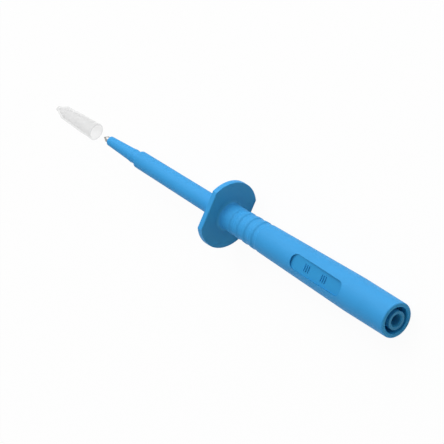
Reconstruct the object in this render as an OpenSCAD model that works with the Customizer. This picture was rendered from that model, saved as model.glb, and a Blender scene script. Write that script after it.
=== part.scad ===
// Safety test probe with a 4 mm rear socket and a pull-off tip cap.
// Millimetres. The axis of the probe is X: the socket's mouth is at x = 0 and the needle points to +X.
// +Z is the side of the flat moulded pocket, and the guard's lower flat is the face it rests on.

/* [Lengths along the axis] */
// Length of needle that shows in front of the nose
tip_len = 3.1; // [2.8:0.1:5]
// Length of the nose, from its front face to the shoulder
nose_len = 15.3; // [12:0.05:17]
// Length of the shaft, from the shoulder to the guard
shaft_len = 43.5; // [25:0.05:70]
// Thickness of the finger guard at its rim
guard_t = 2.1; // [1.4:0.1:3]
// Length of the grip, from the guard to the socket's mouth
grip_len = 85; // [76:0.05:110]

/* [Nose] */
// Diameter of the nose at its front face
nose_front_d = 3.26; // [2.9:0.01:3.6]
// Diameter of the nose's cone at the cap bead
nose_rear_d = 4.5; // [4:0.01:4.6]
// Diameter of the neck between the cap bead and the shoulder
neck_d = 4.54; // [4.2:0.01:4.8]
// Rounding of the nose's front edge
nose_round = 0.15; // [0.1:0.01:0.4]
// Distance of the cap bead's crest from the shoulder
bead_back = 2.95; // [2:0.05:6]
// Width of the cap bead
bead_w = 1.3; // [0.8:0.1:2]
// Height of the cap bead above the neck
bead_h = 0.1; // [0.06:0.01:0.2]

/* [Shaft] */
// Diameter of the shaft at the shoulder
shaft_front_d = 5.96; // [5.6:0.01:7]
// Diameter of the shaft at the guard
shaft_rear_d = 6.8; // [6:0.01:9]
// Rounding of the shoulder's edge
shoulder_round = 0.2; // [0.1:0.05:0.6]
// Fillet between the shaft and the guard's front face
shaft_fillet = 0.8; // [0.3:0.1:2]

/* [Finger guard] */
// Diameter of the guard
guard_d = 23.7; // [20:0.1:30]
// Width of the guard across its two flats
guard_flats_w = 19.6; // [17:0.1:20]
// Rounding of the guard's rim
guard_round = 0.2; // [0.1:0.05:0.6]
// Chamfer of the edges of the two flats
flat_chamfer = 0.2; // [0.1:0.05:0.5]
// Radius of the hollow sweep from the guard's rear face into the grip
hub_sweep = 1.2; // [0.5:0.1:5.2]

/* [Grip] */
// Diameter that the grip's cone has at the guard's rear face
grip_front_d = 9.2; // [8.8:0.05:10]
// Diameter of the straight rear end
grip_rear_d = 12.8; // [12.2:0.1:15]
// Length of the straight rear end
grip_straight_len = 21.1; // [12:0.1:30]
// Rounding of the rear rim
rim_round = 0.6; // [0.2:0.05:1]
// Number of grip grooves
groove_count = 4; // [1:1:6]
// Distance of the first groove's middle from the guard
groove_start = 6.6; // [6:0.05:10]
// Distance from groove to groove
groove_pitch = 3.8; // [3:0.1:5]
// Width of a groove
groove_w = 2.5; // [1.6:0.1:2.8]
// Depth of a groove
groove_depth = 0.27; // [0.1:0.01:0.4]
// Length of the slope at each side of a groove
groove_slope = 0.6; // [0.05:0.01:0.7]

/* [Pocket on the grip] */
// Distance of the pocket's rear end from the socket's mouth
pocket_back = 22.3; // [22:0.1:28]
// Length of the pocket
pocket_len = 25.6; // [15:0.1:30]
// Width of the pocket
pocket_w = 5.4; // [4.7:0.1:6.4]
// Radius of the pocket's corners
pocket_corner_r = 2.3; // [1:0.1:2.3]
// Height of the pocket's floor above the probe's axis
pocket_floor = 4.8; // [4.4:0.05:5]

/* [Rear socket] */
// Diameter of the round well that takes the plug's shroud
well_d = 9.7; // [9.3:0.1:10]
// Depth of the well
well_depth = 19.2; // [15:0.1:19.5]
// Rounding of the well's mouth
well_round = 0.3; // [0.1:0.05:0.5]
// Diameter of the insulating tube in the middle of the well
tube_d = 6.8; // [6.4:0.1:7.2]
// Diameter of the funnel at the tube's mouth
funnel_d = 4.9; // [4.7:0.05:5.2]
// Depth of the funnel
funnel_depth = 0.7; // [0.3:0.1:1]
// Diameter of the tube's guide hole, in front of the metal contact
guide_d = 4.4; // [4.35:0.05:4.6]
// Depth at which the metal contact starts
contact_recess = 4.2; // [2.5:0.1:5]
// Thickness of the insulator's flange, at the bottom of the well
flange_t = 1.4; // [1:0.1:1.6]
// Diameter of the insulator's tail, in front of the flange
tail_d = 6.4; // [6:0.1:6.6]
// Length of the insulator's tail
tail_len = 11; // [8:0.1:14]

/* [Metal parts] */
// Bore of the socket contact, for a 4 mm plug
contact_bore_d = 4; // [3.9:0.01:4.1]
// Depth of that bore
contact_bore_len = 20; // [16:0.1:24]
// Outer diameter of the socket contact's sleeve
contact_d = 5.2; // [5:0.1:5.4]
// Lead-in chamfer of the socket contact's bore
contact_chamfer = 0.3; // [0.1:0.05:0.5]
// Diameter of the drain hole across the bottom of the bore
drain_d = 1.2; // [0.8:0.1:1.6]
// Thickness of the socket contact's collar
collar_t = 2; // [1.5:0.1:3]
// Diameter of the socket contact's stem
stem_d = 4.4; // [4.2:0.1:5]
// Length of the stem in front of the collar
stem_len = 6; // [4:0.1:9]
// Depth of the stem's hole for the link rod
stem_hole_len = 7; // [5:0.1:8]
// Diameter of the link rod
rod_d = 3.2; // [3:0.1:3.6]
// Diameter of the link rod's spigot in the stem
spigot_d = 2.4; // [2:0.1:2.6]
// Distance from the shoulder back to the link rod's front end
rod_back = 1.6; // [1:0.1:4]
// Diameter of the needle
needle_d = 2; // [1.8:0.05:2.2]
// Length of the needle's cone
cone_len = 1.65; // [1.5:0.05:2.7]
// Diameter of the blunted point
point_d = 0.2; // [0.1:0.01:0.3]
// Length of needle pressed into the link rod
needle_seat = 8; // [5:0.1:12]
// Chamfer of the metal parts' inner ends
metal_chamfer = 0.2; // [0.1:0.05:0.3]

/* [Tip cap] */
// Gap between the needle's point and the mouth of the cap that has been pulled off
cap_away = 4.2; // [1:0.05:20]
// Diameter of the cap's collar
cap_collar_d = 5.9; // [5.8:0.05:6.4]
// Length of the cap's collar
cap_collar_len = 0.6; // [0.4:0.1:3]
// Diameter of the cap behind its collar
cap_d = 5.64; // [5.4:0.02:5.8]
// Length of the straight part behind the collar
cap_straight_len = 5.2; // [2:0.1:8]
// Diameter at the end of the cap's taper
cap_end_d = 4.6; // [4.3:0.1:5.2]
// Length from the mouth to the end of the taper
cap_taper_end = 16; // [15.8:0.1:18]
// Length of the blunt cone in front of the taper
cap_cone_len = 2.95; // [2.7:0.05:4]
// Diameter of the stub on the cone
cap_stub_d = 1.8; // [1.2:0.1:2.4]
// Length of the stub
cap_stub_len = 0.6; // [0.4:0.1:2]
// Wall of the cap over the point, along the axis
cap_end_wall = 0.75; // [0.6:0.05:1]
// Diameter of the bottom of the cap's hole
cap_hole_end_d = 0.9; // [0.6:0.1:1]

/* [Clearances] */
// Radial gap between the moulded and the metal pieces
fit_gap = 0.03; // [0.02:0.01:0.06]
// Radial gap between the cap and the nose
cap_gap = 0.06; // [0.04:0.01:0.15]

/* [Hidden] */
$fn = 96;
past = 1;
drill_point = 59;

// Places along the axis, from the socket's mouth
guard_rear_x = grip_len;
guard_front_x = guard_rear_x + guard_t;
shoulder_x = guard_front_x + shaft_len;
bead_x = shoulder_x + bead_back;
nose_x = shoulder_x + nose_len;
tip_x = nose_x + tip_len;
cone_x = tip_x - cone_len;
flange_x = well_depth + flange_t;
tail_x = flange_x + tail_len;
collar_x = tail_x + collar_t;
stem_x = collar_x + stem_len;
rod_x = shoulder_x - rod_back;
needle_x = rod_x - needle_seat;
cap_mouth_x = tip_x + cap_away;

// Slope of the grip's cone, and its radius at a place along the axis
grip_slope = (grip_rear_d - grip_front_d) / 2 / (grip_len - grip_straight_len);
function grip_r(x) = grip_rear_d / 2 - max(0, x - grip_straight_len) * grip_slope;

// Radius of the circle whose cap has this width and height
function crown_r(w, h) = w * w / (8 * h) + h / 2;

// A profile of radius and place, turned about the probe's axis
module turned() {
    rotate([0, 90, 0])
        rotate_extrude()
            children();
}

// A ring section: the profile's stretch between two places, from the axis to a radius
module disc(from_x, to_x, r) {
    translate([0, from_x])
        square([r, to_x - from_x]);
}

// What a rounding takes off an outer corner that lies at the top right of the profile
module corner_waste(r) {
    difference() {
        translate([-r, -r])
            square(r + past);
        translate([-r, -r])
            circle(r);
        translate([-r - past, -r - past])
            square([past, 2 * (r + past)]);
        translate([-r - past, -r - past])
            square([2 * (r + past), past]);
    }
}

// A hollow fillet in the corner at the profile's origin, between +radius and +place
module fillet(r) {
    difference() {
        square(r);
        translate([r, r])
            circle(r);
    }
}

// Outline of the grip, with its grooves and the sweep into the guard
module grip_profile() {
    difference() {
        union() {
            polygon([
                [0, 0],
                [grip_rear_d / 2, 0],
                [grip_rear_d / 2, grip_straight_len],
                [grip_front_d / 2, guard_rear_x],
                [0, guard_rear_x]
            ]);
            translate([grip_front_d / 2, guard_rear_x])
                mirror([0, 1])
                    fillet(hub_sweep);
        }
        translate([grip_rear_d / 2, 0])
            mirror([0, 1])
                corner_waste(rim_round);
        for (i = [0 : groove_count - 1])
            groove(guard_rear_x - groove_start - i * groove_pitch);
    }
}

// One shallow flat-bottomed groove with sloping sides, its floor along the grip's cone
module groove(x) {
    back_x = x - groove_w / 2;
    front_x = x + groove_w / 2;
    polygon([
        [grip_r(back_x) + groove_depth, back_x - groove_slope],
        [grip_r(back_x) - groove_depth, back_x + groove_slope],
        [grip_r(front_x) - groove_depth, front_x - groove_slope],
        [grip_r(front_x) + groove_depth, front_x + groove_slope]
    ]);
}

// Outline of the shaft, its shoulder and the nose with the cap bead
module front_profile() {
    difference() {
        polygon([
            [0, guard_front_x],
            [shaft_rear_d / 2, guard_front_x],
            [shaft_front_d / 2, shoulder_x],
            [0, shoulder_x]
        ]);
        translate([shaft_front_d / 2, shoulder_x])
            corner_waste(shoulder_round);
    }
    translate([shaft_rear_d / 2, guard_front_x])
        fillet(shaft_fillet);
    difference() {
        polygon([
            [0, bead_x],
            [nose_rear_d / 2, bead_x],
            [nose_front_d / 2, nose_x],
            [0, nose_x]
        ]);
        translate([nose_front_d / 2, nose_x])
            corner_waste(nose_round);
    }
    disc(shoulder_x, bead_x, neck_d / 2);
    bead_r = crown_r(bead_w, bead_h);
    intersection() {
        translate([neck_d / 2 + bead_h - bead_r, bead_x])
            circle(bead_r);
        disc(bead_x - bead_w / 2, bead_x + bead_w / 2, neck_d / 2 + bead_h);
    }
}

// Outline of the round guard before its flats are cut
module guard_profile() {
    difference() {
        disc(guard_rear_x, guard_front_x, guard_d / 2);
        translate([guard_d / 2, guard_front_x])
            corner_waste(guard_round);
        translate([guard_d / 2, guard_rear_x])
            mirror([0, 1])
                corner_waste(guard_round);
    }
}

// The stepped hole that holds the insulator, the contact, the rod and the needle
module housing_bore_profile() {
    translate([0, -past])
        square([well_d / 2, flange_x + past]);
    polygon([
        [0, -well_round],
        [well_d / 2 + 2 * well_round, -well_round],
        [well_d / 2, well_round],
        [0, well_round]
    ]);
    disc(0, collar_x, tail_d / 2 + fit_gap);
    disc(0, stem_x, stem_d / 2 + fit_gap);
    disc(0, rod_x, rod_d / 2 + fit_gap);
    disc(0, nose_x + past, needle_d / 2 + fit_gap);
}

// The guard's round plate with its two parallel flats
module guard() {
    flat = guard_flats_w / 2;
    intersection() {
        turned()
            guard_profile();
        rotate([90, 0, 0])
            linear_extrude(guard_d, center = true)
                polygon([
                    [guard_rear_x, -flat + flat_chamfer],
                    [guard_rear_x + flat_chamfer, -flat],
                    [guard_front_x - flat_chamfer, -flat],
                    [guard_front_x, -flat + flat_chamfer],
                    [guard_front_x, flat - flat_chamfer],
                    [guard_front_x - flat_chamfer, flat],
                    [guard_rear_x + flat_chamfer, flat],
                    [guard_rear_x, flat - flat_chamfer]
                ]);
    }
}

// The flat-bottomed pocket with rounded corners, cut into the grip from above
module pocket() {
    inset = pocket_w / 2 - pocket_corner_r;
    translate([pocket_back, 0, pocket_floor])
        linear_extrude(grip_rear_d) {
            translate([pocket_corner_r, -pocket_w / 2])
                square([pocket_len - 2 * pocket_corner_r, pocket_w]);
            translate([0, -inset])
                square([pocket_len, 2 * inset]);
            for (x = [pocket_corner_r, pocket_len - pocket_corner_r])
                for (y = [-inset, inset])
                    translate([x, y])
                        circle(pocket_corner_r);
        }
}

// One moulding: nose, shaft, finger guard and grip
module housing() {
    color([0.24, 0.62, 0.88])
        difference() {
            union() {
                turned() {
                    grip_profile();
                    front_profile();
                }
                guard();
            }
            turned()
                housing_bore_profile();
            pocket();
        }
}

// Steel needle, ground to a blunted point
module needle() {
    r = needle_d / 2;
    color("silver")
        turned()
            polygon([
                [0, needle_x],
                [r - metal_chamfer, needle_x],
                [r, needle_x + metal_chamfer],
                [r, cone_x],
                [point_d / 2, tip_x],
                [0, tip_x]
            ]);
}

// Brass rod that joins the needle to the socket contact
module link_rod() {
    r = rod_d / 2;
    spigot_x = stem_x - stem_hole_len + fit_gap;
    color("darkgoldenrod")
        turned()
            difference() {
                polygon([
                    [0, spigot_x],
                    [spigot_d / 2 - metal_chamfer, spigot_x],
                    [spigot_d / 2, spigot_x + metal_chamfer],
                    [spigot_d / 2, stem_x],
                    [r, stem_x],
                    [r, rod_x - metal_chamfer],
                    [r - metal_chamfer, rod_x],
                    [0, rod_x]
                ]);
                disc(needle_x, rod_x + past, needle_d / 2);
            }
}

// Turned and plated socket contact: sleeve, collar and stem
module socket_contact() {
    bore_r = contact_bore_d / 2;
    bore_x = contact_recess + contact_bore_len;
    color("gainsboro")
        difference() {
            turned()
                difference() {
                    union() {
                        disc(contact_recess, collar_x, contact_d / 2);
                        disc(tail_x, collar_x, tail_d / 2);
                        disc(tail_x, stem_x, stem_d / 2);
                    }
                    polygon([
                        [0, contact_recess - past],
                        [bore_r + contact_chamfer, contact_recess - past],
                        [bore_r + contact_chamfer, contact_recess],
                        [bore_r, contact_recess + contact_chamfer],
                        [bore_r, bore_x],
                        [0, bore_x + bore_r / tan(drill_point)]
                    ]);
                    disc(stem_x - stem_hole_len, stem_x + past, spigot_d / 2);
                }
            translate([bore_x - drain_d, 0, 0])
                cylinder(d = drain_d, h = contact_d + past, center = true);
        }
}

// Moulded tube that shrouds the contact, with the flange at the bottom of the well
module socket_insulator() {
    color([0.2, 0.52, 0.76])
        turned()
            difference() {
                union() {
                    disc(0, flange_x, tube_d / 2);
                    disc(well_depth, flange_x, well_d / 2 - fit_gap);
                    disc(well_depth, tail_x, tail_d / 2);
                }
                polygon([
                    [0, -past],
                    [funnel_d / 2, -past],
                    [funnel_d / 2, 0],
                    [guide_d / 2, funnel_depth],
                    [guide_d / 2, contact_recess],
                    [contact_d / 2 + fit_gap, contact_recess],
                    [contact_d / 2 + fit_gap, tail_x + past],
                    [0, tail_x + past]
                ]);
            }
}

// Clear cap for the nose, standing pulled off in front of the point
module cap() {
    taper_r = cap_end_d / 2;
    stub_x = cap_taper_end + cap_cone_len;
    end_x = stub_x + cap_stub_len;
    bead_clear_r = neck_d / 2 + bead_h + cap_gap;
    bead_depth = bead_back + bead_w / 2;
    nose_clear_r = nose_front_d / 2 + cap_gap;
    color([0.9, 0.91, 0.93, 0.6])
        translate([cap_mouth_x, 0, 0])
            turned()
                difference() {
                    union() {
                        disc(0, cap_collar_len, cap_collar_d / 2);
                        polygon([
                            [0, 0],
                            [cap_d / 2, 0],
                            [cap_d / 2, cap_collar_len + cap_straight_len],
                            [taper_r, cap_taper_end],
                            [cap_stub_d / 2, stub_x],
                            [cap_stub_d / 2, end_x],
                            [0, end_x]
                        ]);
                    }
                    polygon([
                        [0, -past],
                        [bead_clear_r, -past],
                        [bead_clear_r, bead_depth],
                        [nose_clear_r, nose_len],
                        [cap_hole_end_d / 2, end_x - cap_end_wall],
                        [0, end_x - cap_end_wall]
                    ]);
                }
}

housing();
needle();
link_rod();
socket_contact();
socket_insulator();
cap();
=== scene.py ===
"""Looks of a slim test probe: the finishes of its moulded and metal pieces, the raised ribs on its
pocket's floor, and the stage with floor, lamps, sky and camera. The shapes of the pieces come from
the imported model. Lengths are in metres."""

import math
from collections import namedtuple

import bpy
import numpy as np
from bpy.props import FloatProperty, FloatVectorProperty, IntProperty, PointerProperty
from mathutils import Matrix, Vector


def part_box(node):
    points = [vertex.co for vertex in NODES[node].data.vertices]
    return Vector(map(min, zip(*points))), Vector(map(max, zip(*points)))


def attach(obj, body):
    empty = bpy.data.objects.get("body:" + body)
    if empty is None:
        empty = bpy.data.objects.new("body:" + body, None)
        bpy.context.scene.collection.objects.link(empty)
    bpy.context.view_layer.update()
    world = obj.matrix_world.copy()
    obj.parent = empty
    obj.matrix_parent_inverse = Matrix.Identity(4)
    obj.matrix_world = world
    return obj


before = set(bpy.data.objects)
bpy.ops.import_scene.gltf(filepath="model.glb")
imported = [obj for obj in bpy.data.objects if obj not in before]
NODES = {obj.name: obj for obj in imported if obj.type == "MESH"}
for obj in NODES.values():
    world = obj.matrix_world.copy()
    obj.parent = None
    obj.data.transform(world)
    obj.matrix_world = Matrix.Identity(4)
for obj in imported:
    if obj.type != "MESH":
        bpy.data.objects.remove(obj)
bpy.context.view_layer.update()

bl_info = {
    "name": "Test probe looks",
    "version": (1, 0, 0),
    "blender": (4, 5, 0),
    "location": "3D View > Sidebar > Probe",
    "description": "Finishes, pocket ribs, lamps and camera for a slim test probe",
    "category": "Object",
}

MM = 0.001

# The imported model, which lies along X, with Y and Z at 0 on its axis
HOUSING_LOW, HOUSING_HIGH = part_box("housing")
CAP_LOW, CAP_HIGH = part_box("cap")
REAR_FACE = HOUSING_LOW.x
NOSE_FRONT = HOUSING_HIGH.x

# The part's own sizes that the finishes, the ribs and the floor follow
REAR_RADIUS = 6.4 * MM
RIM_ROUND = 0.6 * MM
WELL_RADIUS = 4.85 * MM
WELL_DEPTH = 19.2 * MM
POCKET_MIDDLE = 35.1 * MM
POCKET_LENGTH = 25.6 * MM
POCKET_WIDTH = 5.4 * MM
POCKET_CORNER = 2.3 * MM
POCKET_FLOOR = 4.8 * MM
GRIP_FRONT_RADIUS = 4.6 * MM
GUARD_REAR = 85 * MM
GUARD_RADIUS = 11.85 * MM
FLAT_CHAMFER = 0.2 * MM
NOSE_LENGTH = 15.3 * MM
SHOULDER = NOSE_FRONT - NOSE_LENGTH
SHOULDER_RADIUS = 2.98 * MM
CAP_HOLE_RADIUS = 2.43 * MM

# The stage. The lamps lie in these directions from the middle of the probe.
SIDE_LAMP = Vector((0.5, -0.7, 0.5))
TOP_LAMP = Vector((0.2, -0.4, 0.9))
FILL_LAMP = Vector((-0.3, 0.8, 0.35))
FLOOR_REACH = 1.5  # from the floor's middle to each of its edges
FLOOR_STEPS = 9  # points along each of its edges
FLOOR_GREY = (0.8, 0.8, 0.8, 1)
WHITE = (1, 1, 1, 1)
SENSOR_WIDTH = 36  # in millimetres, as the lens is
CLIP_START, CLIP_END = 0.5, 2.0  # shares of the camera's distance


# Shader arithmetic

# Places of a Mix node's colour sockets, whose names its other sockets share
MIX_FACTOR, MIX_A, MIX_B, MIX_RESULT = 0, 6, 7, 2

# Where a point of the surface is: its Object coordinates as one vector and as three numbers, and
# its distance from the probe's axis
Place = namedtuple("Place", "point x y z r")


class Value:
    """A number socket that can be used in Python expressions; each operation adds one Math node."""

    def __init__(self, graph, socket):
        self.graph, self.socket = graph, socket

    def math(self, operation, *others):
        return self.graph.node("ShaderNodeMath", {"operation": operation}, [self, *others])

    def __add__(self, other):
        return self.math("ADD", other)

    def __mul__(self, other):
        return self.math("MULTIPLY", other)

    def __sub__(self, other):
        return self.math("SUBTRACT", other)

    def __rsub__(self, other):
        return self.graph.node("ShaderNodeMath", {"operation": "SUBTRACT"}, [other, self])

    def __abs__(self):
        return self.math("ABSOLUTE")

    __radd__ = __add__
    __rmul__ = __mul__

    def hypot(self, other):
        return (self * self + other * other).math("SQRT")

    def at_least(self, low):
        return self.math("MAXIMUM", low)

    def at_most(self, high):
        return self.math("MINIMUM", high)

    def swing(self, width):
        """A noise from 0 to 1 as a change of up to half the width either way."""
        return (self - 0.5) * width


class Graph:
    """The node tree of one material or world."""

    def __init__(self, tree):
        self.tree = tree
        tree.nodes.clear()

    def node(self, kind, settings=None, inputs=None, output=0):
        """Adds a node: its settings first, then its sockets by place or name. It returns the
        output asked for, and None for a node without outputs."""
        node = self.tree.nodes.new(kind)
        for name, value in (settings or {}).items():
            setattr(node, name, value)
        pairs = enumerate(inputs) if isinstance(inputs, list) else (inputs or {}).items()
        for name, value in pairs:
            if isinstance(value, Value):
                self.tree.links.new(value.socket, node.inputs[name])
            else:
                node.inputs[name].default_value = value
        return Value(self, node.outputs[output]) if len(node.outputs) else None

    def outputs(self, kind, names, inputs=None):
        """Adds a node and returns several of its outputs."""
        sockets = self.node(kind, {}, inputs).socket.node.outputs
        return [Value(self, sockets[name]) for name in names]

    def mix_colour(self, factor, a, b):
        """A colour between a and b, by a factor from 0 to 1."""
        return self.node(
            "ShaderNodeMix",
            {"data_type": "RGBA", "clamp_factor": True},
            {MIX_FACTOR: factor, MIX_A: a, MIX_B: b},
            MIX_RESULT,
        )

    def step(self, value, low, high):
        """0 below low and 1 above high, with a smooth rise between."""
        return self.node(
            "ShaderNodeMapRange",
            {"interpolation_type": "SMOOTHSTEP", "clamp": True},
            [value, low, high, 0.0, 1.0],
        )

    def past(self, value, place, low, high):
        """0 up to low and 1 from high, both in millimetres past the place."""
        return self.step(value, place + low * MM, place + high * MM)

    def band(self, value, centre, half_width, soft):
        """1 within half_width of the centre, falling to 0 over soft, both in millimetres."""
        return 1 - self.step(abs(value - centre), half_width * MM, (half_width + soft) * MM)

    def noise(self, vector, size, detail=2.0, roughness=0.5):
        """Noise from 0 to 1 whose lumps are about size across."""
        return self.node(
            "ShaderNodeTexNoise",
            {"noise_dimensions": "3D"},
            {"Vector": vector, "Scale": 1 / size, "Detail": detail, "Roughness": roughness},
        )

    def place(self):
        """Where the point is, from its Object coordinates."""
        point = self.node("ShaderNodeTexCoord", output="Object")
        x, y, z = self.outputs("ShaderNodeSeparateXYZ", "XYZ", [point])
        return Place(point, x, y, z, y.hypot(z))

    def looked_at(self):
        """1 where the eye, a reflection or clear plastic sees the background, and 0 where it
        only gives light."""
        rays = ["Is Camera Ray", "Is Glossy Ray", "Is Transmission Ray"]
        camera, glossy, clear = self.outputs("ShaderNodeLightPath", rays)
        return (camera + glossy + clear).at_most(1.0)

    def bump(self, height, distance, strength=1.0, normal=None):
        """A normal from a height between 0 and 1 that stands for a distance in metres."""
        inputs = {"Height": height, "Distance": distance, "Strength": strength}
        if normal is not None:
            inputs["Normal"] = normal
        return self.node("ShaderNodeBump", {}, inputs)


def new_material(name):
    """An empty material and the graph of its nodes."""
    material = bpy.data.materials.new(name)
    material.use_nodes = True
    return material, Graph(material.node_tree)


def surface(graph, settings):
    """One Principled shader into the material's output."""
    shader = graph.node("ShaderNodeBsdfPrincipled", {}, settings)
    graph.node("ShaderNodeOutputMaterial", {}, {"Surface": shader})


def toned(colour, share, lift=0.0):
    """The colour times a share, one number or one for each part, plus a lift, and at most 1."""
    parts = np.minimum(np.array(colour[:3]) * np.array(share) + lift, 1.0)
    return [*parts.tolist(), 1.0]


def dress(node, material):
    """Gives a CAD node its finish, in every material slot that it has."""
    mesh = NODES[node].data
    if not mesh.materials:
        raise RuntimeError(f"{node} has no material slot")
    for i in range(len(mesh.materials)):
        mesh.materials[i] = material


# Settings


class ProbePlasticSettings(bpy.types.PropertyGroup):
    """Colours and surface of the moulded body and of the socket's tube, and the painted shade and
    light on some of the body's faces
    """

    colour: FloatVectorProperty(
        name="Colour", description="Colour of the moulded body",
        subtype="COLOR", size=4, min=0, max=1, default=(0.043, 0.325, 0.69, 1),
    )
    insulator_colour: FloatVectorProperty(
        name="Insulator colour", description="Colour of the socket's insulating tube",
        subtype="COLOR", size=4, min=0, max=1, default=(0.042, 0.33, 0.6, 1),
    )
    roughness: FloatProperty(
        name="Roughness", description="Roughness of the satin plastic",
        default=0.5, min=0.2, max=0.9,
    )
    specular: FloatProperty(
        name="Specular", description="Specular level of the satin plastic",
        default=0.12, min=0, max=1,
    )
    grain_size: FloatProperty(
        name="Grain size", description="Size of the mould's spark-eroded grain",
        default=0.22 * MM, min=0.05 * MM, max=1 * MM, unit="LENGTH", precision=6,
    )
    grain_depth: FloatProperty(
        name="Grain depth", description="Depth of that grain",
        default=0.03 * MM, min=0, max=0.05 * MM, unit="LENGTH", precision=6,
    )
    # Painted shade: the pocket's floor is darkened, standing in for the shade of the recess
    pocket_shade_tone: FloatVectorProperty(
        name="Pocket tone", description="Share of the body's colour that the pocket's floor keeps",
        size=3, min=0, max=2, default=(0.7, 0.89, 0.88),
    )
    # Painted shade: the pocket's walls and the floor's strip along them are darkened
    wall_shade_tone: FloatVectorProperty(
        name="Wall tone", description="Share of the body's colour that the pocket's walls keep",
        size=3, min=0, max=2, default=(0.62, 0.8, 0.77),
    )
    # Painted shade: the faces turned from the lamps and the sweep's end behind the guard are darker
    # and less blue
    rear_shade_tone: FloatVectorProperty(
        name="Rear tone", description="Share of the body's colour that its dull rear faces keep",
        size=3, min=0, max=2, default=(1.0, 0.95, 0.84),
    )
    # Painted light: the well is made lighter and greener, lifting the shade inside the hollow; its
    # roughness is not changed
    well_light_tone: FloatVectorProperty(
        name="Well tone", description="Share of the body's colour that the glossier well has",
        size=3, min=0, max=2, default=(0.8, 1.25, 1.1),
    )
    mouth_tone: FloatVectorProperty(
        name="Mouth tone", description="Share of the tube's colour that its rubbed mouth keeps",
        size=3, min=0, max=2, default=(1.15, 0.79, 0.78),
    )
    wear: FloatProperty(
        name="Wear", description="How much the handled edges are rubbed paler",
        default=0.35, min=0, max=1,
    )


class ProbeMetalSettings(bpy.types.PropertyGroup):
    """Colours and tool marks of the turned metal pieces"""

    needle_colour: FloatVectorProperty(
        name="Needle colour", description="Colour of the ground steel needle",
        subtype="COLOR", size=4, min=0, max=1, default=(0.32, 0.315, 0.305, 1),
    )
    contact_colour: FloatVectorProperty(
        name="Contact colour", description="Colour of the plated socket contact",
        subtype="COLOR", size=4, min=0, max=1, default=(0.5, 0.49, 0.46, 1),
    )
    rod_colour: FloatVectorProperty(
        name="Rod colour", description="Colour of the brass link rod",
        subtype="COLOR", size=4, min=0, max=1, default=(0.78, 0.57, 0.22, 1),
    )
    turning_pitch: FloatProperty(
        name="Turning pitch", description="Distance between the tool marks of turned metal",
        default=0.08 * MM, min=0.02 * MM, max=0.5 * MM, unit="LENGTH", precision=6,
    )


class ProbeCapSettings(bpy.types.PropertyGroup):
    """Colour, surface and cover of the milky cap"""

    colour: FloatVectorProperty(
        name="Colour", description="Tint of the milky tip cap",
        subtype="COLOR", size=4, min=0, max=1, default=(0.65, 0.65, 0.653, 1),
    )
    roughness: FloatProperty(
        name="Roughness", description="Roughness of the soft milky plastic",
        default=0.35, min=0, max=1,
    )
    cover: FloatProperty(
        name="Cover", description="Share of the light that one surface holds back",
        default=0.195, min=0, max=1,
    )
    mouth_cover: FloatProperty(
        name="Mouth cover", description="Part of that share that the mouth of the hole has",
        default=0.65, min=0, max=1,
    )


class ProbeRibSettings(bpy.types.PropertyGroup):
    """Sizes and places of the ribs on the pocket's floor"""

    length: FloatProperty(
        name="Length", description="Length of a rib across the pocket's floor",
        default=2.6 * MM, min=1 * MM, max=4 * MM, unit="LENGTH", precision=5,
    )
    width: FloatProperty(
        name="Width", description="Width of a rib",
        default=0.45 * MM, min=0.1 * MM, max=0.8 * MM, unit="LENGTH", precision=5,
    )
    height: FloatProperty(
        name="Height", description="Height of a rib above the pocket's floor",
        default=0.35 * MM, min=0.02 * MM, max=0.5 * MM, unit="LENGTH", precision=5,
    )
    pitch: FloatProperty(
        name="Pitch", description="Distance from rib to rib in a group",
        default=0.95 * MM, min=0.4 * MM, max=2 * MM, unit="LENGTH", precision=5,
    )
    count: IntProperty(name="Count", description="Ribs in each group", default=3, min=1, max=6)
    front_place: FloatProperty(
        name="Front group", description="Middle of the front group, from the socket's mouth",
        default=40.5 * MM, min=30 * MM, max=46 * MM, unit="LENGTH", precision=5,
    )
    spacing: FloatProperty(
        name="Spacing", description="Distance between the middles of the two groups",
        default=8.4 * MM, min=4 * MM, max=14 * MM, unit="LENGTH", precision=5,
    )
    floor_height: FloatProperty(
        name="Pocket floor", description="Height of the pocket's floor above the axis",
        default=POCKET_FLOOR, min=4 * MM, max=6 * MM, unit="LENGTH", precision=5,
    )


class ProbeStageSettings(bpy.types.PropertyGroup):
    """Lamps, sky, shadow and camera"""

    side_power: FloatProperty(
        name="Side", description="Power of the lamp on the side nearer to the camera",
        default=17.2, min=0, unit="POWER",
    )
    top_power: FloatProperty(
        name="Top", description="Power of the lamp above", default=15.5, min=0, unit="POWER"
    )
    fill_power: FloatProperty(
        name="Fill", description="Power of the lamp on the far side",
        default=4.6, min=0, unit="POWER",
    )
    lamp_distance: FloatProperty(
        name="Lamp distance", description="Distance of each lamp from the middle of the probe",
        default=1.6, min=0.3, max=4, unit="LENGTH",
    )
    lamp_size: FloatProperty(
        name="Lamp size", description="Diameter of each round lamp",
        default=1.85, min=0.05, max=4, unit="LENGTH",
    )
    sky: FloatProperty(
        name="Sky", description="Strength of the even light from all round",
        default=0.26, min=0, max=2,
    )
    shadow: FloatProperty(
        name="Shadow", description="How much of the floor's shadow shows",
        default=0.05, min=0, max=1,
    )
    sight_angle: FloatProperty(
        name="Sight angle", description="Angle between the probe's axis and the line of sight",
        default=math.radians(49.607), unit="ROTATION",
    )
    slope: FloatProperty(
        name="Slope", description="Slope of the probe's axis in the picture",
        default=math.radians(32.153), unit="ROTATION",
    )
    roll: FloatProperty(
        name="Roll", description="Turn of the pocket's side away from the camera",
        default=math.radians(14.275), unit="ROTATION",
    )
    lens: FloatProperty(
        name="Lens", description="Focal length in millimetres, long for a nearly parallel view",
        default=1600, min=50, max=2000,
    )
    frame_width: FloatProperty(
        name="Frame width", description="Width of the picture at the probe",
        default=146.3 * MM, min=0.05, max=0.5, unit="LENGTH", precision=5,
    )
    aim: FloatVectorProperty(
        name="Aim", description="Point at the middle of the picture",
        subtype="TRANSLATION", size=3, default=(86.63 * MM, 3.15 * MM, 0), precision=5,
    )


# Shapes


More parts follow.
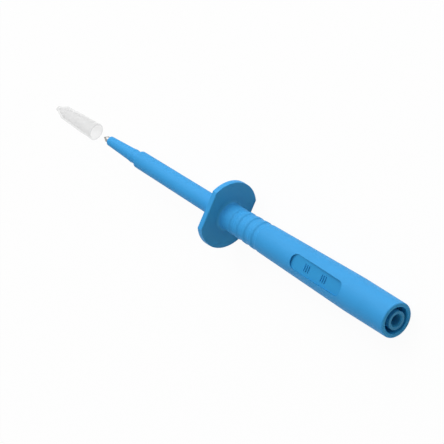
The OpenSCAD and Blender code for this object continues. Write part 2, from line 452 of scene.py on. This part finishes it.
def rib_surface(length, width, height, rows=33, profile_steps=17, taper=0.25, sole=0.1):
    """A low rib with round ends, along Y. Along the rib, u goes from -pi/2 to pi/2 and y is half
    the length times sin(u); the section shrinks with cos(u) to the power of taper. Round the
    section, v goes over a half ellipse, width wide and height high, and back along a sole that lies
    that share of the height deeper."""
    u = np.linspace(-np.pi / 2, np.pi / 2, rows)[1:-1]
    v = np.linspace(0, np.pi, profile_steps)
    across = np.concatenate([np.cos(v), [-1.0, 1.0]]) * width / 2
    up = np.concatenate([np.sin(v), [-sole, -sole]]) * height
    shrink = np.cos(u)[:, None] ** taper
    grid = np.empty((len(u), len(across), 3))
    grid[..., 0] = across * shrink
    grid[..., 1] = np.sin(u)[:, None] * length / 2
    grid[..., 2] = up * shrink
    ends = np.array([[0, -length / 2, 0], [0, length / 2, 0]])
    return grid, ends


def closed_tube_mesh(name, grid, ends, centres):
    """A mesh of equal tubes, one at each centre. The grid's rows close on themselves, and its
    first and last rows close to the two end points."""
    rows, columns = grid.shape[:2]
    index = np.arange(rows * columns).reshape(rows, columns)
    right = np.roll(index, -1, axis=1)
    quads = np.stack([index[1:], right[1:], right[:-1], index[:-1]], axis=-1).reshape(-1, 4)
    first = np.stack([index[0], right[0], np.full(columns, index.size)], axis=-1)
    last = np.stack([right[-1], index[-1], np.full(columns, index.size + 1)], axis=-1)
    points = np.concatenate([grid.reshape(-1, 3), ends])
    vertices, faces = [], []
    for i, centre in enumerate(centres):
        vertices += (points + np.array(centre)).tolist()
        start = i * len(points)
        faces += (quads + start).tolist() + (first + start).tolist() + (last + start).tolist()
    mesh = bpy.data.meshes.new(name)
    mesh.from_pydata(vertices, [], faces)
    mesh.shade_smooth()
    return mesh


# Operators


class PROBE_OT_housing(bpy.types.Operator):
    """Satin moulded plastic for the probe's body, with its grain, rubbed edges and parting line,
    painted shade in the pocket and on the rear faces, and painted light in the well
    """

    bl_idname = "probe.housing"
    bl_label = "Body finish"

    def execute(self, context):
        s = context.scene.probe_plastic
        material, g = new_material("probe_blue_plastic")
        at = g.place()
        worn = self.rubbed_edges(g, at) * s.wear
        pocket, walls = self.pocket(g, at)
        rear_shade_mask = self.rear_shade_mask(g, at)
        well = self.well(g, at)
        seam = self.seam(g, at) * (1 - well)
        mottle = g.noise(at.point, size=9 * MM)
        grain = g.noise(at.point, s.grain_size, roughness=0.6)
        deeper, brighter = toned(s.colour, 0.94), toned(s.colour, 1.04)
        rubbed = toned(s.colour, 1.25, lift=0.03)
        colour = g.mix_colour(worn, g.mix_colour(mottle, deeper, brighter), rubbed)
        # Painted shade on the pocket's floor and walls and on the rear faces, and painted light in
        # the well
        for mask, tone in (
            (pocket, s.pocket_shade_tone),
            (walls, s.wall_shade_tone),
            (rear_shade_mask, s.rear_shade_tone),
            (well, s.well_light_tone),
        ):
            colour = g.mix_colour(mask, colour, toned(s.colour, tone))
        rubbed_gloss = 0.1
        grained = g.bump(grain, s.grain_depth)
        surface(g, {
            "Base Color": colour,
            "Roughness": s.roughness + grain.swing(0.12) - worn * rubbed_gloss,
            "Specular IOR Level": s.specular,
            "Normal": g.bump(seam, distance=0.025 * MM, strength=0.6, normal=grained),
        })
        dress("housing", material)
        return {"FINISHED"}

    def rubbed_edges(self, g, at):
        """1 in patches of the edges that hands and the table rub: the guard's rim, the rear rim,
        the shoulder and the front of the nose."""
        guard_rim = g.past(at.r, GUARD_RADIUS, -0.65, -0.05)
        rear_rim = g.band(at.x, REAR_FACE, 0.5, 0.7) * g.past(at.r, REAR_RADIUS, -0.8, -0.2)
        shoulder = g.band(at.x, SHOULDER, 0.1, 0.3) * g.past(at.r, SHOULDER_RADIUS, -0.38, -0.08)
        nose_front = g.past(at.x, NOSE_FRONT, -0.4, -0.05)
        patches = g.noise(at.point, size=2.4 * MM, detail=3.0)
        edges = guard_rim + rear_rim + shoulder + nose_front
        return edges * g.step(patches, low=0.42, high=0.62)

    def pocket(self, g, at):
        """1 inside the pocket's outline, a rectangle with round corners, and 1 on its walls: the
        places of the pocket's painted shade.
        """
        along = (abs(at.x - POCKET_MIDDLE) - (POCKET_LENGTH / 2 - POCKET_CORNER)).at_least(0.0)
        across = (abs(at.y) - (POCKET_WIDTH / 2 - POCKET_CORNER)).at_least(0.0)
        out = along.hypot(across)
        upper_side = g.past(at.z, POCKET_FLOOR, -0.8, -0.6)
        inside = (1 - g.past(out, POCKET_CORNER, 0.03, 0.1)) * upper_side
        return inside, inside * g.past(out, POCKET_CORNER, -0.2, -0.02)

    def rear_shade_mask(self, g, at):
        """1 on the guard's rear face, with the end of the sweep before it, and on the rear face:
        the places of painted shade.
        """
        guard = g.past(at.x, GUARD_REAR, -0.8, -0.1) * (1 - g.past(at.x, GUARD_REAR, 0.03, 0.08))
        guard = guard * g.past(at.r, GRIP_FRONT_RADIUS, 0.0, 0.4)
        rear = (1 - g.past(at.x, REAR_FACE, 0.02, 0.15)) * g.past(at.r, WELL_RADIUS, -0.05, 0.05)
        return guard + rear

    def well(self, g, at):
        """1 on the wall and the floor of the well, which gets painted light."""
        return (1 - g.past(at.r, WELL_RADIUS, 0.02, 0.1)) * (1 - g.past(at.x, WELL_DEPTH, 0.8, 1.8))

    def seam(self, g, at):
        """1 on the parting line, at both sides of the grip and the shaft."""
        line = g.band(at.z, 0.0, 0.03, 0.05) * g.past(at.r, SHOULDER_RADIUS, -0.28, -0.08)
        return line * g.past(at.x, REAR_FACE, 0.3, 0.8)


class PROBE_OT_socket(bpy.types.Operator):
    """Smooth moulded plastic for the socket's insulating tube"""

    bl_idname = "probe.socket"
    bl_label = "Socket tube finish"

    def execute(self, context):
        s = context.scene.probe_plastic
        material, g = new_material("probe_insulator_plastic")
        at = g.place()
        coarser, shallower, glossier = 1.5, 0.6, 0.05
        grain = g.noise(at.point, s.grain_size * coarser)
        mouth = 1 - g.past(at.x, REAR_FACE, 0.0, 0.25)
        tube, rubbed = list(s.insulator_colour), toned(s.insulator_colour, s.mouth_tone)
        surface(g, {
            "Base Color": g.mix_colour(mouth, tube, rubbed),
            "Roughness": s.roughness - glossier + grain.swing(0.08),
            "Specular IOR Level": s.specular,
            "Normal": g.bump(grain, s.grain_depth * shallower),
        })
        dress("socket_insulator", material)
        return {"FINISHED"}


def turned_metal(name, colour, roughness, pitch, tarnish):
    """Metal with fine turning rings round the probe's axis, wider apart on its end faces, and a
    film in patches that takes the share tarnish of its colour."""
    material, g = new_material(name)
    at = g.place()
    end_face_share = 0.3
    turned = g.node("ShaderNodeCombineXYZ", {}, [at.x, at.r * end_face_share, 0.0])
    rings = g.noise(turned, pitch, detail=1.0)
    film = g.noise(at.point, size=1.6 * MM, detail=3.0)
    film_roughness = 0.05
    clean, filmed = list(colour), toned(colour, 1 - tarnish)
    surface(g, {
        "Base Color": g.mix_colour(g.step(film, low=0.4, high=0.7), clean, filmed),
        "Metallic": 1.0,
        "Roughness": roughness + rings.swing(0.1) + film * film_roughness,
        "Normal": g.bump(rings, distance=0.002 * MM),
    })
    return material


class PROBE_OT_metals(bpy.types.Operator):
    """Ground steel needle, plated contact and brass rod, with the rings of the turning tool"""

    bl_idname = "probe.metals"
    bl_label = "Metal finishes"

    def execute(self, context):
        s = context.scene.probe_metal
        pitch = s.turning_pitch
        steel = turned_metal(
            "probe_needle_steel", s.needle_colour, roughness=0.32, pitch=pitch, tarnish=0.2
        )
        plating = turned_metal(
            "probe_contact_plating", s.contact_colour, roughness=0.3, pitch=pitch, tarnish=0.25
        )
        brass = turned_metal(
            "probe_rod_brass", s.rod_colour, roughness=0.35, pitch=pitch * 1.5, tarnish=0.3
        )
        dress("needle", steel)
        dress("socket_contact", plating)
        dress("link_rod", brass)
        return {"FINISHED"}


class PROBE_OT_cap(bpy.types.Operator):
    """Milky soft plastic that shows what is behind it, for the tip cap"""

    bl_idname = "probe.cap"
    bl_label = "Cap finish"

    def execute(self, context):
        s = context.scene.probe_cap
        material, g = new_material("probe_cap_plastic")
        at = g.place()
        haze = g.noise(at.point, size=3 * MM)
        grain = g.noise(at.point, size=0.3 * MM)
        # 1 on the wall of the hole near its mouth
        in_hole = 1 - g.past(at.r, CAP_HOLE_RADIUS, 0.07, 0.17)
        mouth = in_hole * (1 - g.past(at.x, CAP_LOW.x, 1.5, 6.5))
        surface(g, {
            "Base Color": g.mix_colour(haze, toned(s.colour, 0.96), list(s.colour)),
            "Roughness": s.roughness + haze.swing(0.1),
            "Specular IOR Level": 0.2,
            "Alpha": (s.cover + haze.swing(0.05)) * (1 - mouth * (1 - s.mouth_cover)),
            "Normal": g.bump(grain, distance=0.004 * MM),
        })
        dress("cap", material)
        return {"FINISHED"}


class PROBE_OT_ribs(bpy.types.Operator):
    """Two groups of plain raised ribs on the floor of the grip's pocket, in the body's plastic"""

    bl_idname = "probe.ribs"
    bl_label = "Pocket ribs"

    def execute(self, context):
        s = context.scene.probe_ribs
        grid, ends = rib_surface(s.length, s.width, s.height)
        offsets = [(i - (s.count - 1) / 2) * s.pitch for i in range(s.count)]
        for name, middle in (
            ("pocket_ribs_front", s.front_place),
            ("pocket_ribs_rear", s.front_place - s.spacing),
        ):
            centres = [(middle + offset, 0, s.floor_height) for offset in offsets]
            mesh = closed_tube_mesh(name, grid, ends, centres)
            mesh.materials.append(NODES["housing"].data.materials[0])
            ribs = bpy.data.objects.new(name, mesh)
            context.scene.collection.objects.link(ribs)
            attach(ribs, "probe")
        return {"FINISHED"}


class PROBE_OT_stage(bpy.types.Operator):
    """White floor that keeps a little of the probe's shadow, three broad lamps, sky and camera"""

    bl_idname = "probe.stage"
    bl_label = "Stage"

    def execute(self, context):
        s = context.scene.probe_stage
        self.floor(context, s)
        self.sky(context, s)
        self.lamp(context, s, "side_lamp", SIDE_LAMP, s.side_power)
        self.lamp(context, s, "top_lamp", TOP_LAMP, s.top_power)
        self.lamp(context, s, "fill_lamp", FILL_LAMP, s.fill_power)
        self.camera(context, s)
        context.scene.view_settings.view_transform = "Standard"
        return {"FINISHED"}

    def floor(self, context, s):
        """A plane through the two places where the probe rests, its rear rim and the guard's lower
        flat: a point is their middle, plus a times the way along the probe, plus b times Y."""
        rear = Vector((REAR_FACE + RIM_ROUND, 0, -REAR_RADIUS))
        guard = Vector((GUARD_REAR + FLAT_CHAMFER, 0, HOUSING_LOW.z))
        middle, along = np.array((guard + rear) / 2), np.array((guard - rear).normalized())
        steps = np.linspace(-FLOOR_REACH, FLOOR_REACH, FLOOR_STEPS)
        a, b = np.meshgrid(steps, steps, indexing="ij")
        points = middle + a[..., None] * along + b[..., None] * np.array((0, 1, 0))
        index = np.arange(FLOOR_STEPS ** 2).reshape(FLOOR_STEPS, FLOOR_STEPS)
        corners = [index[:-1, :-1], index[1:, :-1], index[1:, 1:], index[:-1, 1:]]
        faces = np.stack(corners, axis=-1).reshape(-1, 4)
        mesh = bpy.data.meshes.new("floor")
        mesh.from_pydata(points.reshape(-1, 3).tolist(), [], faces.tolist())
        material, g = new_material("floor_white")
        diffuse = g.node("ShaderNodeBsdfDiffuse", {}, {"Color": FLOOR_GREY})
        white = g.node("ShaderNodeEmission", {}, {"Color": WHITE, "Strength": 1.0})
        white_share = g.looked_at() * (1 - s.shadow)
        both = g.node("ShaderNodeMixShader", {}, [white_share, diffuse, white])
        g.node("ShaderNodeOutputMaterial", {}, {"Surface": both})
        mesh.materials.append(material)
        floor = bpy.data.objects.new("floor", mesh)
        context.scene.collection.objects.link(floor)

    def sky(self, context, s):
        """White to the eye, in reflections and through clear plastic, and weaker as light."""
        world = bpy.data.worlds.new("studio_sky")
        context.scene.world = world
        world.use_nodes = True
        g = Graph(world.node_tree)
        strength = g.looked_at() * (1 - s.sky) + s.sky
        sky = g.node("ShaderNodeBackground", {}, {"Color": WHITE, "Strength": strength})
        g.node("ShaderNodeOutputWorld", {}, {"Surface": sky})

    def lamp(self, context, s, name, direction, power):
        """A round area lamp in that direction from the middle of the probe, which it faces."""
        data = bpy.data.lights.new(name, "AREA")
        data.shape, data.size, data.energy = "DISK", s.lamp_size, power
        lamp = bpy.data.objects.new(name, data)
        middle = Vector(((REAR_FACE + CAP_HIGH.x) / 2, 0, 0))
        direction = direction.normalized()
        lamp.location = middle + direction * s.lamp_distance
        lamp.rotation_euler = direction.to_track_quat("Z", "Y").to_euler()
        context.scene.collection.objects.link(lamp)

    def camera(self, context, s):
        """A camera whose directions follow from three angles. Toward goes from the probe's axis to
        the camera's side, at a right angle to the axis, and across is at right angles to both. The
        sight angle lies between the axis and the line of sight, which gives back, the way to the
        camera, and rearward, where the probe's rear lies in the picture. The slope turns the
        picture about back."""
        axis, y, z = Vector((1, 0, 0)), Vector((0, 1, 0)), Vector((0, 0, 1))
        toward = -math.sin(s.roll) * y + math.cos(s.roll) * z
        across = math.cos(s.roll) * y + math.sin(s.roll) * z
        back = -math.cos(s.sight_angle) * axis + math.sin(s.sight_angle) * toward
        rearward = -math.sin(s.sight_angle) * axis - math.cos(s.sight_angle) * toward
        right = math.cos(s.slope) * rearward - math.sin(s.slope) * across
        up = -math.sin(s.slope) * rearward - math.cos(s.slope) * across
        data = bpy.data.cameras.new("camera")
        data.sensor_width, data.lens = SENSOR_WIDTH, s.lens
        distance = s.lens * s.frame_width / data.sensor_width
        data.clip_start, data.clip_end = distance * CLIP_START, distance * CLIP_END
        camera = bpy.data.objects.new("camera", data)
        turn = Matrix((right, up, back)).transposed().to_4x4()
        camera.matrix_world = Matrix.Translation(Vector(s.aim) + back * distance) @ turn
        context.scene.collection.objects.link(camera)
        context.scene.camera = camera


class PROBE_PT_looks(bpy.types.Panel):
    """The probe's steps and settings"""

    bl_label = "Probe"
    bl_idname = "PROBE_PT_looks"
    bl_space_type = "VIEW_3D"
    bl_region_type = "UI"
    bl_category = "Probe"

    def draw(self, context):
        for operator in OPERATORS:
            self.layout.operator(operator.bl_idname)
        for name in SETTINGS:
            group = getattr(context.scene, name)
            box = self.layout.box()
            for key in group.bl_rna.properties.keys():
                if key not in {"rna_type", "name"}:
                    box.prop(group, key)


SETTINGS = {
    "probe_plastic": ProbePlasticSettings,
    "probe_metal": ProbeMetalSettings,
    "probe_cap": ProbeCapSettings,
    "probe_ribs": ProbeRibSettings,
    "probe_stage": ProbeStageSettings,
}
OPERATORS = [
    PROBE_OT_housing,
    PROBE_OT_socket,
    PROBE_OT_metals,
    PROBE_OT_cap,
    PROBE_OT_ribs,
    PROBE_OT_stage,
]


def register():
    for cls in [*SETTINGS.values(), *OPERATORS, PROBE_PT_looks]:
        bpy.utils.register_class(cls)
    for name, cls in SETTINGS.items():
        setattr(bpy.types.Scene, name, PointerProperty(type=cls))


def unregister():
    for name in SETTINGS:
        delattr(bpy.types.Scene, name)
    for cls in reversed([*SETTINGS.values(), *OPERATORS, PROBE_PT_looks]):
        bpy.utils.unregister_class(cls)


def main():
    register()
    bpy.ops.probe.housing()
    bpy.ops.probe.socket()
    bpy.ops.probe.metals()
    bpy.ops.probe.cap()
    bpy.ops.probe.ribs()
    bpy.ops.probe.stage()


if __name__ == "__main__":
    main()
